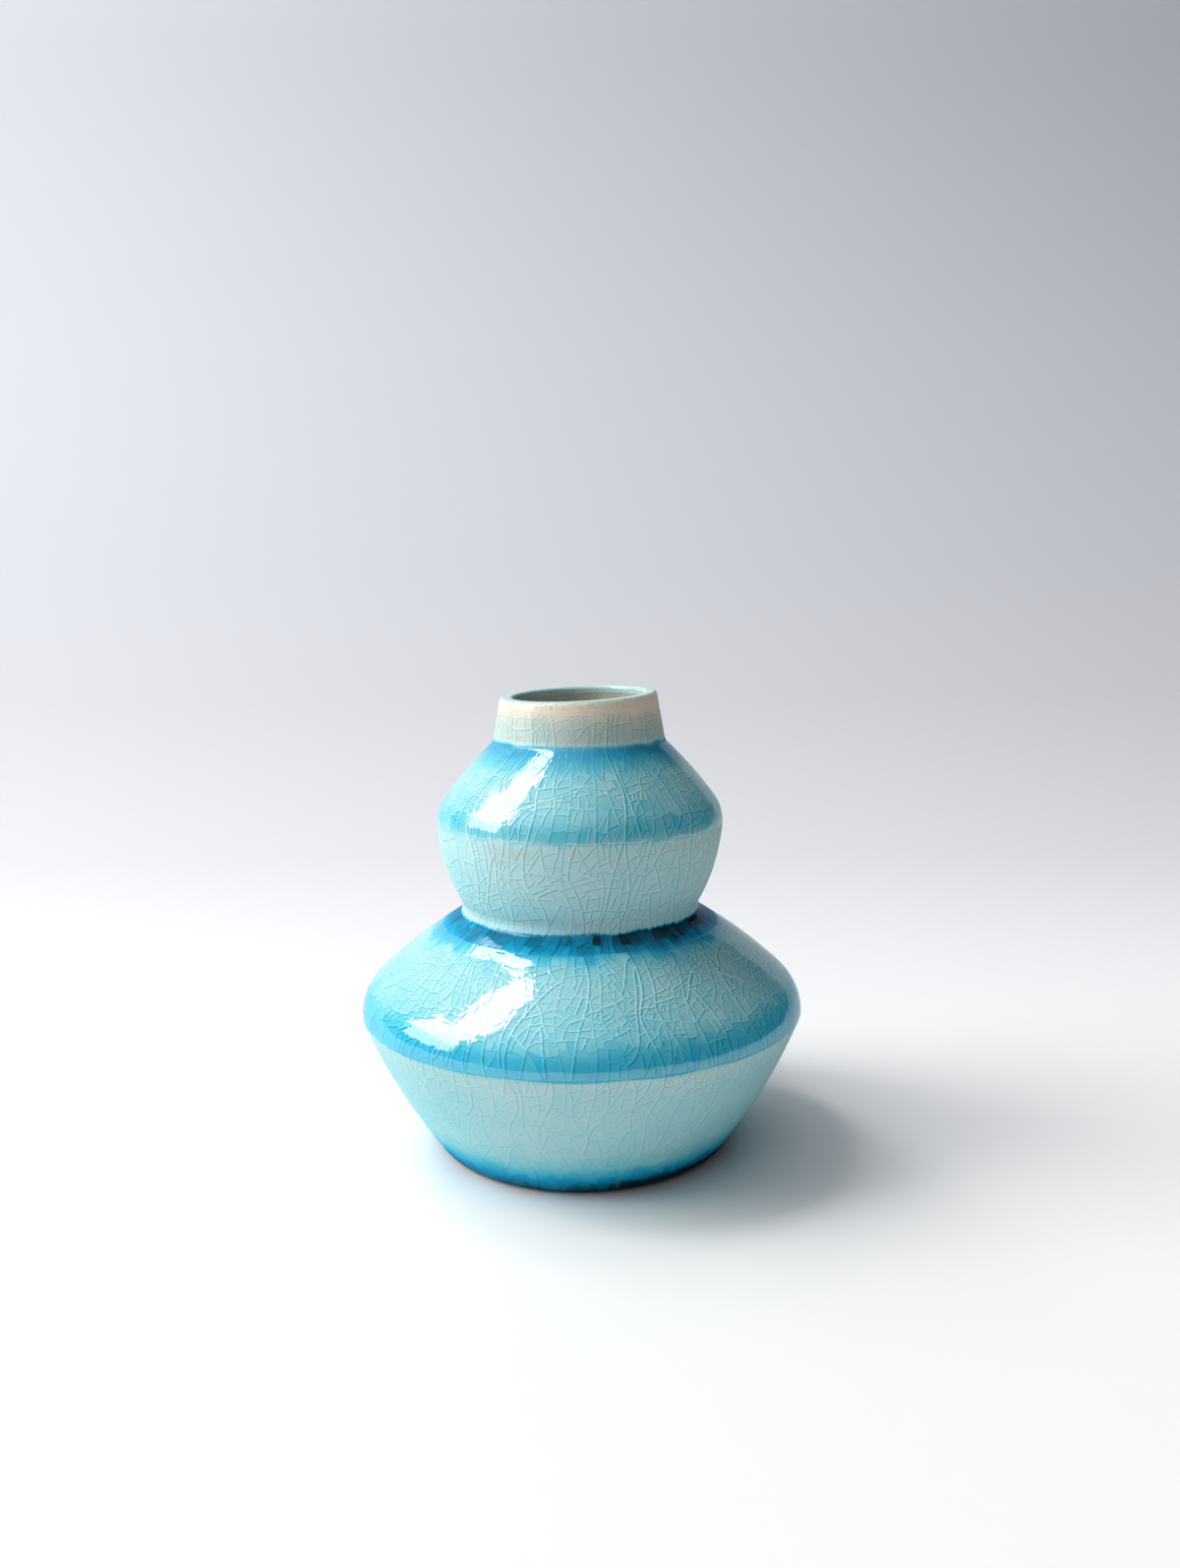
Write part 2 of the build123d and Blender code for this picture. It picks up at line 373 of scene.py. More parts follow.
class Profile:
    """The outer line of one coat, with its place along the whole vase's profile."""

    SAMPLES = 600

    def __init__(self, node, start):
        self.line = smooth_line(rings(node, outward=True), self.SAMPLES)
        self.along = start + np.concatenate([[0], np.cumsum(np.hypot(*np.diff(self.line, axis=0).T))])
        slope = np.gradient(self.line, axis=0)
        slope /= np.hypot(*slope.T)[:, None]
        self.normal = np.stack([slope[:, 1], -slope[:, 0]], 1)
        self.start, self.end = self.along[0], self.along[-1]

    def at_height(self, height):
        return np.interp(height, self.line[:, 1], self.along)

    def point(self, along):
        return tuple(np.interp(along, self.along, self.line[:, axis]) for axis in (0, 1))

    def outward(self, along):
        return tuple(np.interp(along, self.along, self.normal[:, axis]) for axis in (0, 1))


def profiles():
    """The profile of each coat, from the foot up."""
    made, start = {}, 0.0
    for node in COATS:
        made[node] = Profile(node, start)
        start = made[node].end
    return made


def rim_plane():
    """The plane of the hand-cut rim, as its rise along X, its rise along Y and its height at the axis."""
    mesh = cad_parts["lip_glaze"].data
    centres = [face.center / MM for face in mesh.polygons if face.normal.z > NEARLY_UP]
    table = np.array([(centre.x, centre.y, 1) for centre in centres])
    return np.linalg.lstsq(table, np.array([centre.z for centre in centres]), rcond=None)[0]


PROFILES = profiles()
WHOLE_ALONG = np.concatenate([p.along for p in PROFILES.values()])
WHOLE_LINE = np.concatenate([p.line for p in PROFILES.values()])
TOTAL = WHOLE_ALONG[-1]
*RIM_RISE, RIM_MIDDLE = rim_plane()


def rim_rise(angle):
    """How far the rim rises towards an angle for each millimetre out from the axis."""
    return RIM_RISE[0] * np.cos(angle) + RIM_RISE[1] * np.sin(angle)


def radius_at(along):
    return np.interp(along, WHOLE_ALONG, WHOLE_LINE[:, 0])


def height_at(along):
    return np.interp(along, WHOLE_ALONG, WHOLE_LINE[:, 1])


def along_at(height):
    return np.interp(height, WHOLE_LINE[:, 1], WHOLE_ALONG)


def turned(angle, radius, height):
    """Places at angles, radii and heights round the axis of the vase."""
    return np.stack(np.broadcast_arrays(radius * np.cos(angle), radius * np.sin(angle), height), -1)


def surface(angle, along):
    """Places on the glazed surface."""
    return turned(angle, radius_at(along), height_at(along))


# Crackle


def ripple(angle, along, wavelength, seed):
    """A smooth random field on the surface that closes on itself round the vase, about -2 to 2."""
    random = np.random.default_rng(seed)
    total = 0.0
    middle_radius = WHOLE_LINE[:, 0].mean()
    for _ in range(RIPPLE_WAVES):
        heading = random.uniform(0, tau)
        spread = random.uniform(*RIPPLE_SPREAD)
        around = round(middle_radius * tau / wavelength * spread * np.cos(heading))
        up = tau / wavelength * spread * np.sin(heading)
        total = total + np.sin(around * angle + up * along + random.uniform(0, tau))
    return total * np.sqrt(2 / RIPPLE_WAVES)


def primary_cracks(random):
    """Cracks that run up the wall from foot to lip, each a line of angle and place along the profile."""
    along = np.arange(0, TOTAL, CRACK_STEP)
    along = np.append(along, TOTAL)
    spacing = tau / PRIMARY_CRACKS
    lines = []
    for index in range(PRIMARY_CRACKS):
        drift = sum(np.sin(along * tau / length + random.uniform(0, tau)) for length in DRIFT_LENGTHS)
        aside = drift / len(DRIFT_LENGTHS) * PRIMARY_WANDER * spacing
        angle = spacing * (index + random.uniform(-PRIMARY_STEP, PRIMARY_STEP)) + aside
        lines.append(np.stack([angle, along], 1))
    return lines


def stretch(line, low, high):
    """The part of a primary crack between two places along the profile."""
    angle, along = line.T
    places = np.concatenate([[low], along[(along > low) & (along < high)], [high]])
    return np.stack([np.interp(places, along, angle), places], 1)


def strips(primaries, random):
    """The wall between the primary cracks, cut across where the bands meet, and the cracks that cut it."""
    next_ones = primaries[1:] + [primaries[0] + (tau, 0)]
    cells, cuts = [], []
    for left, right in zip(primaries, next_ones):
        levels = [along_at(height) + random.normal(0, spread) for height, spread in RING_CRACKS]
        ends = [0.0, *levels, TOTAL]
        for low, high in zip(ends[:-1], ends[1:]):
            cells.append(np.concatenate([stretch(left, low, high), stretch(right, low, high)[::-1]]))
        for level in levels:
            sides = [np.interp(level, line[:, 1], line[:, 0]) for line in (left, right)]
            cuts.append(np.stack([np.linspace(*sides, RING_POINTS), np.full(RING_POINTS, level)], 1))
    return cells, cuts


def flattened(cell):
    """A cell's corners about its middle in plain millimetres, and what turns them back."""
    middle = cell.mean(0)
    scale = np.array([radius_at(middle[1]), 1.0])
    return (cell - middle) * scale, middle, scale


def cell_area(cell):
    """The area of a cell in square millimetres."""
    flat, _, _ = flattened(cell)
    x, y = flat.T
    return abs(np.dot(x, np.roll(y, 1)) - np.dot(y, np.roll(x, 1))) / 2


def crack_between(start, end, square_start, square_end, random):
    """A slightly bowed crack that meets the edges at both ends nearly square."""
    span = np.linalg.norm(end - start)
    count = max(FEWEST_POINTS, int(span / CRACK_STEP) + 2)
    t = np.linspace(0, 1, count)[:, None]
    straight = (end - start) / span
    pull = CRACK_PULL * span
    leave = start + pull * (STRAIGHT_SHARE * straight + SQUARE_SHARE * square_start)
    arrive = end + pull * (-STRAIGHT_SHARE * straight + SQUARE_SHARE * square_end)
    line = (1 - t) ** 3 * start + 3 * (1 - t) ** 2 * t * leave + 3 * (1 - t) * t**2 * arrive + t**3 * end
    across = np.array([-straight[1], straight[0]])
    bow = random.normal(0, CRACK_BOW) * span * np.sin(pi * t)
    rough = random.normal(0, CRACK_ROUGHNESS, (count, 1)) * np.sin(pi * t)
    return line + across * (bow + rough)


def square_to(flat, edge, towards):
    """The direction square to one edge of a cell, on the side of a point."""
    first, second = flat[edge], flat[(edge + 1) % len(flat)]
    across = np.array([first[1] - second[1], second[0] - first[0]])
    across /= np.linalg.norm(across) + NOT_ZERO
    return across if np.dot(across, towards - first) > 0 else -across


def split_cell(cell, random):
    """Cracks a cell across its long axis: the crack and the two cells that it leaves."""
    flat, middle, scale = flattened(cell)
    bias = np.interp(cell_area(cell), (SMALL_CELL, LARGE_CELL), (SMALL_BIAS, LARGE_BIAS))
    axes = np.linalg.eigh(np.cov((flat * (1, bias)).T))[1]
    long = axes[:, -1] * (1, 1 / bias)
    heading = np.arctan2(long[1], long[0]) + random.normal(0, CUT_TILT)
    normal = np.array([np.cos(heading), np.sin(heading)])
    direction = np.array([-normal[1], normal[0]])
    reach = np.ptp(flat @ normal)
    through = normal * random.normal(0, CUT_OFFSET) * reach / 2
    side = (flat - through) @ normal
    after = np.roll(side, -1)
    edges = np.nonzero(side * after < 0)[0]
    share = side[edges] / (side[edges] - after[edges])
    points = flat[edges] + (np.roll(flat, -1, axis=0)[edges] - flat[edges]) * share[:, None]
    place = (points - through) @ direction
    if not (place > 0).any() or not (place < 0).any():
        return None
    first = np.where(place < 0, place, -np.inf).argmax()
    second = np.where(place > 0, place, np.inf).argmin()
    crack = crack_between(
        points[first],
        points[second],
        square_to(flat, edges[first], through),
        square_to(flat, edges[second], through),
        random,
    )
    low, high = edges[first], edges[second]
    if low > high:
        low, high, crack = high, low, crack[::-1]
    one = np.concatenate([flat[: low + 1], crack, flat[high + 1 :]])
    other = np.concatenate([flat[low + 1 : high + 1], crack[::-1]])
    return tuple(part / scale + middle for part in (crack, one, other))


def crackle():
    """Every crack of the glaze, as (angles and places along the profile, width from 0 to 1)."""
    random = np.random.default_rng(SEED)
    primaries = primary_cracks(random)
    cells, cuts = strips(primaries, random)
    cracks = [(line, 1.0) for line in primaries] + [(line, RING_WIDTH) for line in cuts]
    heights, areas = zip(*CELL_AREAS)
    while cells:
        cell = cells.pop()
        area = cell_area(cell)
        wanted = np.interp(height_at(cell[:, 1].mean()), heights, areas)
        if area < wanted * random.lognormal(0, CELL_AREA_SPREAD):
            continue
        tries = (split_cell(cell, random) for _ in range(SPLIT_TRIES))
        parts = next((found for found in tries if found is not None), None)
        if parts is None:
            continue
        crack, *halves = parts
        width = np.interp(area, (wanted, WIDEST_CRACK_AREA), (NARROW_CRACK, 1.0))
        cracks.append((crack, width))
        cells += halves
    return cracks


def swirled(line):
    """A crack moved by the slow drift of the glaze as it cooled."""
    angle, along = line.T
    aside_length, up_length = SWIRL_LENGTHS
    aside = ripple(angle, along, aside_length, SEED + 1) * CRACK_WANDER
    up = ripple(angle, along, up_length, SEED + 2) * CRACK_WANDER
    held = [0.0, *(along_at(height) for height, _ in RING_CRACKS), TOTAL]
    free = np.clip(np.abs(along[:, None] - held).min(1) / RING_HOLD, 0, 1)
    return np.stack([angle + aside / radius_at(along), along + up * free], 1)


def crack_tree(cracks):
    """A search tree of points along all cracks, and the width and strength of the crack at each point."""
    random = np.random.default_rng(SEED + 7)
    places, widths, strengths = [], [], []
    for line, width in cracks:
        line = swirled(line)
        points = surface(*line.T)
        along = np.concatenate([[0], np.cumsum(np.linalg.norm(np.diff(points, axis=0), axis=1))])
        samples = np.linspace(0, along[-1], max(2, int(along[-1] / CRACK_SAMPLE)))
        places.append(surface(*(np.interp(samples, along, line[:, axis]) for axis in (0, 1))))
        widths.append(np.full(len(samples), width))
        strengths.append(np.full(len(samples), random.uniform(FAINTEST_CRACK, 1.0)))
    places = np.concatenate(places)
    tree = kdtree.KDTree(len(places))
    for index, place in enumerate(places):
        tree.insert(place, index)
    tree.balance()
    return tree, np.concatenate(widths), np.concatenate(strengths)


CRACK_TREE, CRACK_WIDTHS, CRACK_STRENGTHS = crack_tree(crackle())


def nearest_crack(places):
    """How far each place is from the nearest crack, and the width and strength of that crack."""
    found = [CRACK_TREE.find(place)[1:] for place in places.reshape(-1, 3)]
    index, distance = np.array(found).T
    index = index.astype(int).reshape(places.shape[:-1])
    return distance.reshape(index.shape), CRACK_WIDTHS[index], CRACK_STRENGTHS[index]


def grown(label, inside):
    """Labels spread to their neighbours on a grid that closes on itself from side to side."""
    spread = np.maximum(label, np.maximum(np.roll(label, 1, 1), np.roll(label, -1, 1)))
    spread[1:] = np.maximum(spread[1:], label[:-1])
    spread[:-1] = np.maximum(spread[:-1], label[1:])
    return spread * inside


def crackle_cells(gap):
    """Which cell of the crackle each point of a grid lies in."""
    inside = gap > CELL_EDGE
    label = np.arange(1, gap.size + 1).reshape(gap.shape) * inside
    while True:
        spread = grown(label, inside)
        if np.array_equal(spread, label):
            break
        label = spread
    while (label == 0).any():
        label = np.where(label == 0, grown(label, True), label)
    return np.unique(label, return_inverse=True)[1].reshape(gap.shape)


# Meshes


def closed_mesh(name, rows, flat_rows):
    """A mesh of rings, each joined to the next and the last to the first, flat shaded in flat_rows."""
    count, columns, _ = rows.shape
    index = np.arange(count * columns).reshape(count, columns)
    above, beside = np.roll(index, -1, 0), np.roll(index, -1, 1)
    faces = np.stack([index, beside, np.roll(beside, -1, 0), above], -1).reshape(-1, 4)
    mesh = bpy.data.meshes.new(name)
    mesh.vertices.add(count * columns)
    mesh.vertices.foreach_set("co", (rows.reshape(-1) * MM).astype(np.float32))
    mesh.loops.add(faces.size)
    mesh.loops.foreach_set("vertex_index", faces.ravel().astype(np.int32))
    mesh.polygons.add(len(faces))
    mesh.polygons.foreach_set("loop_start", np.arange(0, faces.size, 4, dtype=np.int32))
    smooth = np.ones((count, columns), bool)
    smooth[list(flat_rows)] = False
    mesh.polygons.foreach_set("use_smooth", smooth.ravel())
    mesh.update(calc_edges=True)
    piece = bpy.data.objects.new(name, mesh)
    bpy.context.scene.collection.objects.link(piece)
    return piece


def store(piece, name, values, rows):
    """Keeps a number for each point of the outer side, and the lowest row's number on the rest."""
    whole = np.broadcast_to(values[0], (rows, values.shape[1])).astype(np.float32)
    whole[: len(values)] = values
    piece.data.attributes.new(name, "FLOAT", "POINT").data.foreach_set("value", whole.ravel())


def coat_rows(node, angle):
    """Places along the profile of the rows of one coat, up to the tilted cut at the neck's top."""
    profile = PROFILES[node]
    top = np.full(COLUMNS, profile.end)
    if node == "neck_glaze":
        radius, height = profile.line[-1]
        top = profile.at_height(height - np.hypot(*RIM_RISE) * radius + rim_rise(angle) * radius)
    share = np.linspace(0, 1, COATS[node][0])[:, None]
    return profile.start + share * (top - profile.start)


def by_height(stops, height, column=1):
    """Numbers at heights, from a column of a table of heights and numbers."""
    return np.interp(height, [stop[0] for stop in stops], [stop[column] for stop in stops])


def fading(distance, full, none):
    """1 up to one distance, and down to 0 at another."""
    share = np.clip((none - distance) / (none - full), 0, 1)
    return share * share * (3 - 2 * share)


def cell_means(cell, values):
    """The mean of a number over each cell."""
    return np.bincount(cell.ravel(), values.ravel()) / np.bincount(cell.ravel())


def glaze_depth(places, level, cell, random):
    """How deep the glaze lies: by height, deeper on one side in the waist and at the foot, and partly alike
    in each cell.
    """
    angle = np.arctan2(places[..., 1], places[..., 0])
    deeper = WAIST_DEEPER * fading(WAIST_Z - places[..., 2], *WAIST_REACH) * (level < POOL_EDGE_Z)
    deeper += FOOT_DEEPER * fading(places[..., 2] - FOOT_Z, *FOOT_REACH)
    deeper *= fading(np.abs((angle - DEEP_ANGLE + pi) % tau - pi), *DEEP_SIDE)
    share = random.normal(0, 1, cell.max() + 1).clip(-SHIFT_LIMIT, SHIFT_LIMIT)
    depth = by_height(DEPTHS, level + share[cell] * by_height(CELL_SHIFTS, level)) + deeper
    below = (level < POOL_EDGE_Z) == (cell_means(cell, level) < POOL_EDGE_Z)[cell]
    mean = cell_means(cell, depth * below) / np.maximum(cell_means(cell, below), NOT_ZERO)
    own = random.normal(0, 1, len(mean)) * by_height(CELL_SPREADS, cell_means(cell, level))
    alike = by_height(CELL_SHARES, level) * below
    return depth + (mean[cell] - depth) * alike + own[cell] * below


def band_level(places):
    """Heights on the vase as its bands of glaze see them, with their lean and an uneven edge."""
    x, y, z = np.moveaxis(places, -1, 0)
    angle = np.arctan2(y, x)
    waist = fading(np.abs(z - WAIST_Z), POOL_REACH, 2 * POOL_REACH)
    wander = BAND_WANDER * ripple(angle, z, WANDER_LENGTH, SEED + 3)
    wander += BAND_FRAY * waist * ripple(angle, z, FRAY_LENGTH, SEED + 8)
    lean = BAND_LEAN * np.clip(z / WAIST_Z, 0, 1) * (1 - waist)
    return z - lean * y - POOL_LEAN * waist * x + wander


def glaze_surface():
    """Places over all glazed rows of the vase, with their relief, and the numbers that the shader reads."""
    random = np.random.default_rng(SEED)
    angle = np.arange(COLUMNS) * tau / COLUMNS
    across, outward, blocks = [], [], []
    for node, profile in PROFILES.items():
        rows = coat_rows(node, angle)
        blocks.append(rows)
        across.append(np.stack(profile.point(rows)))
        outward.append(np.stack(profile.outward(rows)))
    along = np.concatenate(blocks)
    radius, height = np.concatenate(across, axis=1)
    places = turned(angle, radius, height)
    normal = turned(angle, *np.concatenate(outward, axis=1))

    gap, width, strength = nearest_crack(places)
    aside, up = CRACK_SHADE_OFFSET
    wall_shade_gap, wall_shade_width, wall_shade_strength = nearest_crack(surface(angle - aside / radius, along - up))
    cell = crackle_cells(gap)
    level = band_level(places)
    core = fading(gap / width, *PALE_LINE) * strength
    # A darker line beside each crack: partly the crack's wall seen through the glaze, partly painted shade
    # on the side away from the window
    wall = fading(wall_shade_gap / wall_shade_width, *DARK_LINE) * wall_shade_strength * (1 - core)
    numbers = {
        "depth": glaze_depth(places, level, cell, random),
        "pale": by_height(LINE_STRENGTHS, level, 1) * core,
        # Darker lines beside the cracks, which are partly painted shade, and painted shade in the band under
        # the neck
        "dark": np.maximum(by_height(LINE_STRENGTHS, level, 2) * wall, by_height(NECK_PAINTED_SHADE, level)),
    }

    centre = np.stack([cell_means(cell, places[..., axis]) for axis in range(3)], -1)
    lean = random.normal(0, CELL_TILT, centre.shape)
    end = np.clip(np.minimum(along, along[-1] - along) / TILT_FADE, 0, 1)
    tilt = ((places - centre[cell]) * lean[cell]).sum(-1)
    wave = WAVE_DEPTH * ripple(angle, along, WAVE_LENGTH, SEED + 4) / RIPPLE_RANGE
    groove = -GROOVE_DEPTH * np.exp(-((gap / width / GROOVE_WIDTH) ** 2))
    relief = np.minimum(tilt + wave + groove - RELIEF_MARGIN, 0) * end
    shaped = places + normal * relief[..., None]
    shaped[..., 2] -= FOOT_ROLL * fading(height - FOOT_Z, 0.0, ROLL_HEIGHT)
    return shaped, numbers


def glaze_coats():
    """One closed shell for each coat of glaze, with crackle, cells and waves in its outer surface."""
    places, numbers = glaze_surface()
    angle = np.arange(COLUMNS) * tau / COLUMNS
    made, start = {}, 0
    for node, (count, slot) in COATS.items():
        own = slice(start, start + count)
        start += count
        outer = places[own]
        clay = smooth_line(rings(node, outward=False), CLAY_SIDE_ROWS)[::-1]
        clay = clay[clay[:, 1] < outer[-1, :, 2].min()] if node == "neck_glaze" else clay
        rows = np.concatenate([outer, turned(angle, clay[:, :1], clay[:, 1:])])
        piece = closed_mesh(node.replace("glaze", "crackle"), rows, (count - 1, len(rows) - 1))
        for name, values in numbers.items():
            store(piece, name, values[own], len(rows))
        stand_for(piece, node)
        made[piece] = slot
    return made


def stand_for(piece, node):
    """Puts a piece in the place of a CAD node."""
    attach(piece, "root")
    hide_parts(node)


def lip_section(inset, top, edge, width, low):
    """A line over the rim, from low outside to low inside, as insets from the outside and heights."""
    turn = np.linspace(0, pi / 2, LIP_EDGE_POINTS)
    wall = np.linspace(low, top - edge, LIP_WALL_POINTS)[:-1]
    flat = np.linspace(inset + edge, width - inset - edge, LIP_FLAT_POINTS)[1:-1]
    half = [(inset, height) for height in wall]
    half += [(inset + edge * (1 - np.cos(t)), top - edge + edge * np.sin(t)) for t in turn]
    other = [(width - across, height) for across, height in reversed(half)]
    return np.array(half + [(across, top) for across in flat] + other)


def lip_cap():
    """The cap of glaze that folds over the tilted rim, grainy on top."""
    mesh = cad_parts["lip_glaze"].data
    inner = np.hypot(*mesh_numbers(mesh.vertices, "co", 3).T[:2]).min() / MM
    line = PROFILES["neck_glaze"].line
    run, rise = line[-1] - line[-TAPER_POINTS]
    taper = run / rise
    angle = np.arange(LIP_COLUMNS) * tau / LIP_COLUMNS
    plane = RIM_MIDDLE + rim_rise(angle) * line[-1, 0]
    outer = line[-1, 0] + taper * (plane - line[-1, 1])
    width = outer.mean() - inner
    out_side = lip_section(0.0, 0.0, LIP_EDGE, width, -LIP_DEPTH)
    clay_side = lip_section(LIP_THICKNESS, -LIP_THICKNESS, LIP_EDGE - LIP_THICKNESS, width, -LIP_DEPTH)[::-1]
    section = np.concatenate([out_side, clay_side])
    inset, height = section[:, :1], section[:, 1:]
    radius = outer + taper * height * (1 - inset / width) - inset * (outer - inner) / width
    places = turned(angle, radius, RIM_MIDDLE + rim_rise(angle) * radius + height)
    around, across = np.broadcast_arrays(angle, inset)
    coarse, fine = LIP_GRAIN_LENGTHS
    grain = ripple(around, across, coarse, SEED + 5) + ripple(around, across, fine, SEED + 6)
    sunk = np.clip(grain + RIPPLE_RANGE, 0, 2 * RIPPLE_RANGE) / (2 * RIPPLE_RANGE)
    raised = np.clip((height + LIP_DEPTH) / LIP_EDGE, 0, 1)
    places[..., 2] -= LIP_GRAIN * raised * sunk
    piece = closed_mesh("lip_cap", places, (len(out_side) - 1, len(section) - 1))
    from_edge = np.broadcast_to(inset, around.shape)[: len(out_side)]
    store(piece, "depth", LIP_GLAZE * np.clip(from_edge / LIP_BREAK, 0, 1), len(section))
    stand_for(piece, "lip_glaze")
    return piece


# Materials


def feed(tree, socket, value):
    """Links an input to another node's output, or sets it to a number or a colour."""
    if isinstance(value, bpy.types.NodeSocket):
        tree.links.new(value, socket)
    else:
        socket.default_value = value


def add(tree, kind, settings, **inputs):
    """A shader node with its settings and its inputs, by name, or by number as in _0, set or linked."""
    made = tree.nodes.new(kind)
    for name, value in settings.items():
        setattr(made, name, value)
    for name, value in inputs.items():
        key = int(name[1:]) if name[0] == "_" else name.replace("_", " ")
        feed(tree, made.inputs[key], value)
    return made


def new_material(name):
    """A material, its node tree and its shader."""
    made = bpy.data.materials.new(name)
    made.use_nodes = True
    return made, made.node_tree, made.node_tree.nodes["Principled BSDF"]


def ramp(tree, value, stops):
    """A colour that follows a number through stops of place and colour."""
    made = add(tree, "ShaderNodeValToRGB", {}, Fac=value)
    elements = made.color_ramp.elements
    while len(elements) < len(stops):
        elements.new(1.0)
    for element, (place, colour) in zip(elements, stops):
        element.position = place
        element.color = (*colour, 1)
    return made.outputs["Color"]


def math_node(tree, operation, *values, clamp=False):
    """The result of one sum on numbers or sockets."""
    made = tree.nodes.new("ShaderNodeMath")
    made.operation = operation
    made.use_clamp = clamp
    for socket, value in zip(made.inputs, values):
        feed(tree, socket, value)
    return made.outputs[0]


def between(tree, share, low, high):
    """A number that goes from low to high as a share goes from 0 to 1."""
    return math_node(tree, "MULTIPLY_ADD", share, high - low, low)


def blend(tree, first, second, share):
    """A share of one number and the rest of another."""
    return math_node(tree, "MULTIPLY_ADD", first, share, math_node(tree, "MULTIPLY", second, 1 - share))


def mix(tree, kind, share, first, second):
    """Two colours mixed. The node has its colours at inputs 6 and 7."""
    settings = {"data_type": "RGBA", "blend_type": kind}
    return add(tree, "ShaderNodeMix", settings, _0=share, _6=first, _7=second).outputs[2]


def noise(tree, place, size, detail, roughness):
    """Noise from 0 to 1, with lumps of about a size in millimetres."""
    scale = 1 / (size * MM)
    made = add(tree, "ShaderNodeTexNoise", {}, Vector=place, Scale=scale, Detail=detail, Roughness=roughness)
    return made.outputs["Fac"]


def attribute(tree, name):
    """A number that was stored on the mesh."""
    return add(tree, "ShaderNodeAttribute", {"attribute_name": name}).outputs["Fac"]


def fall(tree, value, near, far):
    """1 below near, down to 0 at far."""
    made = add(
        tree,
        "ShaderNodeMapRange",
        {"interpolation_type": "SMOOTHSTEP"},
        Value=value,
        From_Min=near,
        From_Max=far,
        To_Min=1.0,
        To_Max=0.0,
    )
    return made.outputs["Result"]


def roughen(tree, shader, height, strength, depth):
    """Fine bumps up to a depth in millimetres."""
    bump = add(tree, "ShaderNodeBump", {}, Strength=strength, Distance=depth * MM, Height=height)
    tree.links.new(bump.outputs["Normal"], shader.inputs["Normal"])


# Colours of the glaze by its depth, and of the lines beside its cracks; the dark one also tints the painted
# shade under the neck
GLAZE_COLOURS = [
    (0.0, (0.84, 0.74, 0.6)),
    (0.05, (0.64, 0.65, 0.56)),
    (0.1, (0.46, 0.58, 0.53)),
    (0.16, (0.47, 0.72, 0.73)),
    (0.25, (0.28, 0.65, 0.7)),
    (0.36, (0.09, 0.55, 0.69)),
    (0.5, (0.012, 0.44, 0.69)),
    (0.65, (0.001, 0.33, 0.58)),
    (0.82, (0.001, 0.19, 0.33)),
    (1.0, (0.0, 0.025, 0.042)),
]
PALE_CRACK = (0.47, 0.39, 0.37, 1)
CRACK_WALL_AND_SHADE_TINT = (0.2, 0.4, 0.46, 1)
# How strongly each glaze mirrors what is round it
GLOSS = {
    "celadon_glaze": 0.12,
    "turquoise_glaze": 0.62,
    "pooled_glaze": 0.2,
    "neck_glaze": 0.12,
    "lip_glaze": 0.3,
}
GLAZE_IOR = 2.2
GLOSS_ROUGHNESS = (0.01, 0.05)
BODY_ROUGHNESS = 0.5
# Kinds of noise: the size of its lumps in millimetres, its detail and its roughness
CLOUDS = (24.0, 3.0, 0.5)
MOTTLES = (5.0, 4.0, 0.6)
GRAINS = (0.7, 2.0, 0.5)
SHEEN = (2.0, 3.0, 0.5)
LINER_CLOUDS = (4.0, 4.0, 0.6)
LINER_SPECKLES = (0.6, 2.0, 0.5)
CLAY_CLOUDS = (6.0, 3.0, 0.5)
GROG = (0.5, 3.0, 0.7)
# How far clouds, mottles and grains change the depth of the glaze
CLOUD_DEPTH = 0.06
MOTTLE_DEPTH = 0.025
WALL_GRAIN, RIM_GRAIN = 0.02, 0.2
# Specks of iron in the glaze: their colour, spacing and radius, and how much of that is full colour
SPECK = (0.12, 0.08, 0.05, 1)
SPECK_SPACING = 7.0
SPECK_RADIUS = 0.14
SPECK_CORE = 0.5
# Darker and paler shades of the liner, the clay and the slip, and where in their noise these lie
LINER_SHADES = (0.36, 0.37, 0.29), (0.52, 0.53, 0.43)
CLAY_SHADES = (0.48, 0.41, 0.33), (0.68, 0.6, 0.5)
SLIP_SHADES = (0.44, 0.35, 0.26), (0.62, 0.53, 0.42)
DARKER_AT, PALER_AT = 0.3, 0.7
SPECKLE_SHARE = 0.5
GROG_SHARE = 0.6
LINER_GLOSS = 0.6
LINER_ROUGHNESS = (0.12, 0.32)
CLAY_ROUGHNESS = (0.7, 0.9)
# Strength and depth of fine bumps
LINER_BUMPS = (0.3, 0.05)
CLAY_BUMPS = (0.5, 0.1)
# Painted shade on the foot: near black where the foot lies under the vase, only in shade, and the heights
# between which it ends
FOOT_PAINTED_SHADE = (0.05, 0.045, 0.045, 1)
FOOT_SHADE_ENDS = (FOOT_Z + 1.5, FOOT_Z + 2.5)


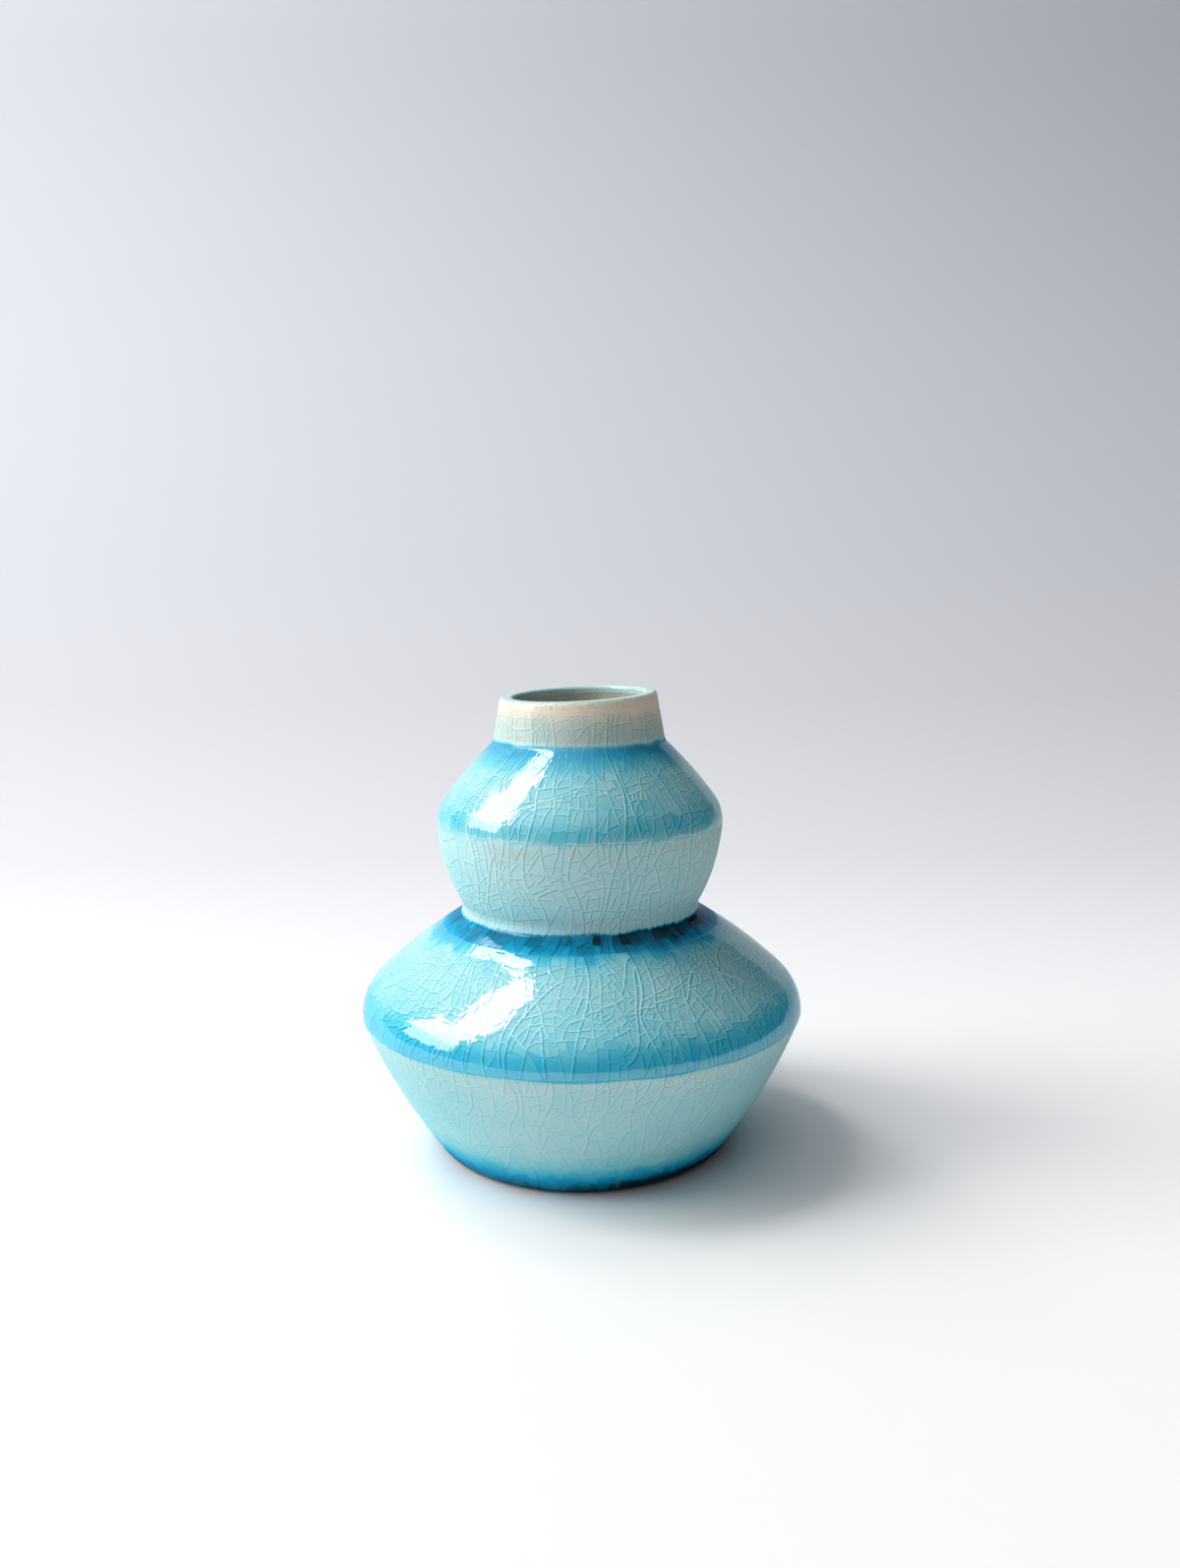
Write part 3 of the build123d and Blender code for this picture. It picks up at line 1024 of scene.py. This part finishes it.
def glaze_material(name, grain, gloss):
    """Crackle glaze: colour by depth, pale crack lines with a dark wall beside them that is partly painted
    shade, painted shade under the neck, and a few specks.
    """
    made, tree, shader = new_material(name)
    place = add(tree, "ShaderNodeTexCoord", {}).outputs["Object"]
    cloud = between(tree, noise(tree, place, *CLOUDS), -CLOUD_DEPTH, CLOUD_DEPTH)
    mottle = between(tree, noise(tree, place, *MOTTLES), -MOTTLE_DEPTH, MOTTLE_DEPTH)
    grains = between(tree, noise(tree, place, *GRAINS), -grain, grain)
    uneven = math_node(tree, "ADD", math_node(tree, "ADD", cloud, mottle), grains)
    depth = math_node(tree, "ADD", attribute(tree, "depth"), uneven, clamp=True)
    colour = ramp(tree, depth, GLAZE_COLOURS)
    # Darkens the lines beside the cracks, which are partly painted shade, and paints shade in the band under
    # the neck
    colour = mix(tree, "MULTIPLY", attribute(tree, "dark"), colour, CRACK_WALL_AND_SHADE_TINT)
    colour = mix(tree, "DODGE", attribute(tree, "pale"), colour, PALE_CRACK)
    dots = add(tree, "ShaderNodeTexVoronoi", {}, Vector=place, Scale=1 / (SPECK_SPACING * MM))
    speck_size = SPECK_RADIUS / SPECK_SPACING
    dot = fall(tree, dots.outputs["Distance"], SPECK_CORE * speck_size, speck_size)
    colour = mix(tree, "MIX", dot, colour, SPECK)
    tree.links.new(colour, shader.inputs["Base Color"])
    rough = between(tree, noise(tree, place, *SHEEN), *GLOSS_ROUGHNESS)
    tree.links.new(rough, shader.inputs["Coat Roughness"])
    shader.inputs["Specular IOR Level"].default_value = 0.0
    shader.inputs["Roughness"].default_value = BODY_ROUGHNESS
    shader.inputs["Coat Weight"].default_value = gloss
    shader.inputs["Coat IOR"].default_value = GLAZE_IOR
    return made


def plain_glaze(name, low, high):
    """Glaze with no crackle, such as the liner's, mottled between two colours."""
    made, tree, shader = new_material(name)
    place = add(tree, "ShaderNodeTexCoord", {}).outputs["Object"]
    cloud = noise(tree, place, *LINER_CLOUDS)
    speckle = noise(tree, place, *LINER_SPECKLES)
    share = blend(tree, speckle, cloud, SPECKLE_SHARE)
    colour = ramp(tree, share, [(DARKER_AT, low), (PALER_AT, high)])
    tree.links.new(colour, shader.inputs["Base Color"])
    tree.links.new(between(tree, speckle, *LINER_ROUGHNESS), shader.inputs["Roughness"])
    shader.inputs["Coat Weight"].default_value = LINER_GLOSS
    roughen(tree, shader, speckle, *LINER_BUMPS)
    return made


def clay_material(name, low, high):
    """Bare fired clay: fine grog and a matt surface, with painted shade, near black, on the foot under the
    vase.
    """
    made, tree, shader = new_material(name)
    place = add(tree, "ShaderNodeTexCoord", {}).outputs["Object"]
    grog = noise(tree, place, *GROG)
    cloud = noise(tree, place, *CLAY_CLOUDS)
    share = blend(tree, grog, cloud, GROG_SHARE)
    clay = ramp(tree, share, [(DARKER_AT, low), (PALER_AT, high)])
    height = add(tree, "ShaderNodeSeparateXYZ", {}, Vector=place).outputs["Z"]
    # Painted shade: the foot under the vase is made near black
    foot_shade = fall(tree, height, *(end * MM for end in FOOT_SHADE_ENDS))
    colour = mix(tree, "MULTIPLY", foot_shade, clay, FOOT_PAINTED_SHADE)
    tree.links.new(colour, shader.inputs["Base Color"])
    tree.links.new(between(tree, grog, *CLAY_ROUGHNESS), shader.inputs["Roughness"])
    roughen(tree, shader, grog, *CLAY_BUMPS)
    return made


def wear(piece, material):
    """Gives a piece one material in place of any that it had."""
    piece.data.materials.clear()
    piece.data.materials.append(material)


def dress():
    """Makes the glazed pieces and gives every piece its material."""
    glazes = {slot: glaze_material(slot, WALL_GRAIN, GLOSS[slot]) for _, slot in COATS.values()}
    for piece, slot in glaze_coats().items():
        wear(piece, glazes[slot])
    wear(lip_cap(), glaze_material("lip_glaze", RIM_GRAIN, GLOSS["lip_glaze"]))
    clay = clay_material("stoneware", *CLAY_SHADES)
    for node in CLAY_NODES:
        wear(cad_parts[node], clay)
    slip = clay_material("slip", *SLIP_SHADES)
    for node in SLIP_NODES:
        wear(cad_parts[node], slip)
    wear(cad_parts["liner_glaze"], plain_glaze("liner_glaze", *LINER_SHADES))


# Studio

# The sheet of paper that is floor and backdrop: its edges, and where and how it turns up
SWEEP_LEFT, SWEEP_RIGHT = -1150.0, 580.0
SWEEP_FRONT = -700.0
SWEEP_TURN = 230.0
SWEEP_RADIUS = 600.0
SWEEP_TOP = 1600.0
SWEEP_STEPS = 24
# Its colour goes from the first to the last over these distances, back and up together: painted shade that
# darkens the paper towards the back and up
PAPER_NEAR, PAPER_FAR = 50.0, 1100.0
PAPER_COLOURS = [
    (0.0, (0.87, 0.87, 0.87)),
    (0.25, (0.67, 0.68, 0.71)),
    (0.5, (0.58, 0.59, 0.62)),
    (0.7, (0.57, 0.58, 0.62)),
    (1.0, (0.58, 0.595, 0.65)),
]
PAPER_ROUGHNESS = 0.9
PAPER_SHINE = 0.2
# Panes of light: the middles of the lower and the upper edge, the width and the brightness
DAYLIGHT = (1.0, 0.99, 0.97)
BRIGHT, DIM = 7.4, 4.4
WINDOW_X = -1300
PANES = {
    "window_low": ((WINDOW_X, -140, 250), (WINDOW_X, -140, 650), 800, DIM),
    "window_middle": ((WINDOW_X, -60, 650), (WINDOW_X, -60, 1400), 960, BRIGHT),
    "window_high": ((WINDOW_X, -100, 1400), (WINDOW_X, 180, 4300), 600, BRIGHT),
    "skylight": ((-486, 236, 1567), (-825, 831, 1143), 250, BRIGHT),
}
# The height on the vase that the panes face
VASE_MIDDLE = 60.0
# The direction in which the room is darkest, and its colours from the opposite one to there
DIMMEST = (0.92, 0.25, -0.3)
ROOM_COLOURS = [
    (0.0, (1.05, 1.07, 1.12)),
    (0.15, (0.93, 0.95, 1.0)),
    (0.3, (0.68, 0.695, 0.73)),
    (0.45, (0.25, 0.258, 0.275)),
    (0.6, (0.09, 0.093, 0.1)),
    (1.0, (0.03, 0.031, 0.034)),
]
# Below the first of these levels it is dimmed to a share, and above the second not at all
DIM_LEVELS = (0.2, 0.7)
DIM_SHARE = 0.12


def sweep():
    """A pale floor that curves up into the backdrop, with painted shade that darkens it towards the back and
    up.
    """
    turn = np.linspace(0, pi / 2, SWEEP_STEPS)
    curve = np.stack([SWEEP_TURN + SWEEP_RADIUS * np.sin(turn), SWEEP_RADIUS * (1 - np.cos(turn))], 1)
    line = np.concatenate([[[SWEEP_FRONT, 0]], curve, [[SWEEP_TURN + SWEEP_RADIUS, SWEEP_TOP]]])
    vertices = [(x * MM, y * MM, z * MM) for y, z in line for x in (SWEEP_LEFT, SWEEP_RIGHT)]
    faces = [(2 * i, 2 * i + 1, 2 * i + 3, 2 * i + 2) for i in range(len(line) - 1)]
    mesh = bpy.data.meshes.new("sweep")
    mesh.from_pydata(vertices, [], faces)
    mesh.polygons.foreach_set("use_smooth", [True] * len(faces))
    floor = bpy.data.objects.new("sweep", mesh)
    bpy.context.scene.collection.objects.link(floor)
    made, tree, shader = new_material("paper")
    place = add(tree, "ShaderNodeTexCoord", {}).outputs["Object"]
    split = add(tree, "ShaderNodeSeparateXYZ", {}, Vector=place)
    far = math_node(tree, "ADD", split.outputs["Y"], split.outputs["Z"])
    near, end = PAPER_NEAR * MM, PAPER_FAR * MM
    share = add(tree, "ShaderNodeMapRange", {}, Value=far, From_Min=near, From_Max=end).outputs["Result"]
    tree.links.new(ramp(tree, share, PAPER_COLOURS), shader.inputs["Base Color"])
    shader.inputs["Roughness"].default_value = PAPER_ROUGHNESS
    shader.inputs["Specular IOR Level"].default_value = PAPER_SHINE
    wear(floor, made)


def pane(name, low, high, width, radiance):
    """A soft strip of light between two places, turned to the vase, of a given width and brightness."""
    low, high = Vector(low), Vector(high)
    light = bpy.data.lights.new(name, "AREA")
    light.shape = "RECTANGLE"
    light.size = width * MM
    light.size_y = (high - low).length * MM
    light.energy = radiance * pi * light.size * light.size_y
    light.color = DAYLIGHT
    up = (high - low).normalized()
    middle = (low + high) / 2
    back = middle - Vector((0, 0, VASE_MIDDLE))
    back = (back - up * back.dot(up)).normalized()
    lamp = bpy.data.objects.new(name, light)
    turn = Matrix((up.cross(back), up, back)).transposed().to_4x4()
    lamp.matrix_world = Matrix.Translation(middle * MM) @ turn
    bpy.context.scene.collection.objects.link(lamp)


def window_light():
    """A tall window to the left, dimmer low down and narrower high up, and a skylight behind the vase."""
    for name, settings in PANES.items():
        pane(name, *settings)


def sky():
    """The light of the room, which falls off to the right and downwards."""
    world = bpy.data.worlds.new("studio")
    world.use_nodes = True
    tree = world.node_tree
    direction = add(tree, "ShaderNodeTexCoord", {}).outputs["Generated"]
    settings = {"operation": "DOT_PRODUCT"}
    away = add(tree, "ShaderNodeVectorMath", settings, _0=direction, _1=DIMMEST).outputs["Value"]
    share = add(tree, "ShaderNodeMapRange", {}, Value=away, From_Min=-1.0, From_Max=1.0)
    colour = ramp(tree, share.outputs["Result"], ROOM_COLOURS)
    height = add(tree, "ShaderNodeSeparateXYZ", {}, Vector=direction).outputs["Z"]
    strength = between(tree, fall(tree, height, *DIM_LEVELS), 1.0, DIM_SHARE)
    tree.links.new(colour, tree.nodes["Background"].inputs["Color"])
    tree.links.new(strength, tree.nodes["Background"].inputs["Strength"])
    bpy.context.scene.world = world


def camera():
    """The camera of the photograph."""
    data = bpy.data.cameras.new("camera")
    data.sensor_fit = "HORIZONTAL"
    data.sensor_width = SENSOR_WIDTH
    data.lens = FOCAL_PIXELS / PHOTO_WIDTH * SENSOR_WIDTH
    data.clip_start = CLIP_START * MM
    eye = bpy.data.objects.new("camera", data)
    place = Matrix.Translation([value * MM for value in CAMERA_PLACE])
    pitch = Matrix.Rotation(pi / 2 - radians(CAMERA_PITCH), 4, "X")
    eye.matrix_world = place @ pitch @ Matrix.Rotation(-radians(CAMERA_ROLL), 4, "Z")
    bpy.context.scene.collection.objects.link(eye)
    bpy.context.scene.camera = eye


camera()
sky()
window_light()
sweep()
dress()
bpy.context.scene.view_settings.view_transform = "Standard"
